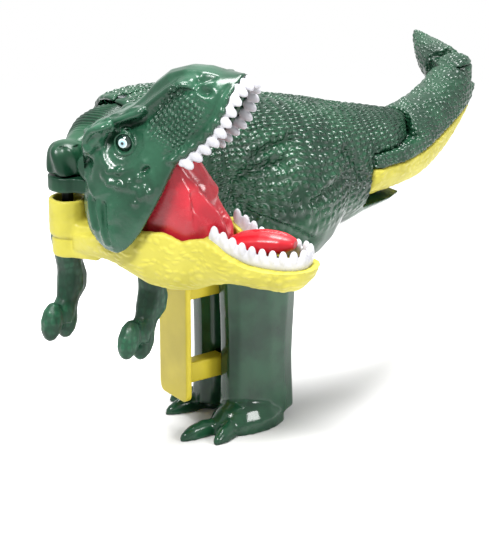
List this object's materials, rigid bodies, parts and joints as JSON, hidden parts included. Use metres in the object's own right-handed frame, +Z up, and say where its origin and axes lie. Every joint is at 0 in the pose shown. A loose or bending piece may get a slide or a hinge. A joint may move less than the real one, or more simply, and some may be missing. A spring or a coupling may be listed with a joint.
{
  "type": "toy dinosaur figure",
  "caption": "Trigger-operated toy dinosaur: squeezing the plate in the legs turns the neck and head, shuts the jaws and swings the jointed tail.",
  "frame": {"origin": "middle of the bounding box in plan, at the soles of the feet", "axes": "+Z up; the dinosaur's body faces -Y and its left is +X"},
  "size_m": [0.1166, 0.1694, 0.1196],
  "materials": {
    "green": "glossy moulded, scaly",
    "yellow": "satin moulded",
    "white": "satin",
    "red": "glossy",
    "film": "soft glossy film",
    "grey": "moulded",
    "eye": "glossy",
    "steel": "plated"
  },
  "bodies": {
    "body": {"body_shell_left": "green", "body_shell_right": "green", "shell_screw_1": "steel", "shell_screw_2": "steel", "shell_screw_3": "steel", "shell_screw_4": "steel", "chest_bracket": "green", "neck_pin": "steel", "tail_pin": "steel", "trigger_spring": "steel"},
    "neck": {"neck_link": "green", "head_pin": "steel"},
    "left_arm": {"left_arm": "green"},
    "right_arm": {"right_arm": "green"},
    "jaw": {"lower_jaw": "yellow", "lower_teeth": "white", "mouth_tongue": "red", "mouth_membrane": "film", "head_carrier": "green", "jaw_pin_left": "steel", "jaw_pin_right": "steel"},
    "head": {"upper_head": "green", "upper_teeth": "white", "left_eye": "eye", "right_eye": "eye"},
    "tail_base": {"tail_base": "green", "tail_belly": "yellow", "tip_pin": "steel"},
    "tail_tip": {"tail_tip": "green"},
    "trigger": {"trigger": "yellow", "drive_bar": "grey"}
  },
  "joints": [
    {"name": "neck_swivel", "type": "hinge", "parent": "body", "child": "neck", "pos_m": [-0.01212, -0.05486, 0.0766], "axis": [0, 0, -1], "range_deg": [0, 40]},
    {"name": "head_swivel", "type": "hinge", "parent": "neck", "child": "jaw", "pos_m": [-0.00134, -0.07907, 0.0786], "axis": [0, 0, -1], "range_deg": [0, 80]},
    {"name": "jaw_close", "type": "hinge", "parent": "jaw", "child": "head", "pos_m": [0.0161, -0.06774, 0.0784], "axis": [-0.5446, 0.8387, 0], "range_deg": [0, 44], "deforming": ["mouth_membrane"]},
    {"name": "tail_swing", "type": "hinge", "parent": "body", "child": "tail_base", "pos_m": [-0.01212, 0.03214, 0.0746], "axis": [0, 0, -1], "range_deg": [0, 40]},
    {"name": "tip_swing", "type": "hinge", "parent": "tail_base", "child": "tail_tip", "pos_m": [-0.02832, 0.0749, 0.0846], "axis": [0, 0, 1], "range_deg": [-25, 25]},
    {"name": "left_arm_swing", "type": "hinge", "parent": "neck", "child": "left_arm", "pos_m": [0.00059, -0.05796, 0.0623], "axis": [0.9135, 0.4067, 0], "range_deg": [-25, 25]},
    {"name": "right_arm_swing", "type": "hinge", "parent": "neck", "child": "right_arm", "pos_m": [-0.01832, -0.06638, 0.0623], "axis": [0.9135, 0.4067, 0], "range_deg": [-25, 25]},
    {"name": "trigger_squeeze", "type": "slide", "parent": "body", "child": "trigger", "axis": [0, 1, 0], "range_m": [0, 0.0062], "stiffness_N_per_m": 150, "springref_m": -0.01, "deforming": ["trigger_spring"]}
  ],
  "couplings": [
    {"joint": "head_swivel", "follows": "neck_swivel", "ratio": 2},
    {"joint": "jaw_close", "follows": "neck_swivel", "ratio": 1.1},
    {"joint": "tail_swing", "follows": "neck_swivel", "ratio": 1},
    {"joint": "trigger_squeeze", "follows": "neck_swivel", "m_per_rad": 0.0088629}
  ]
}
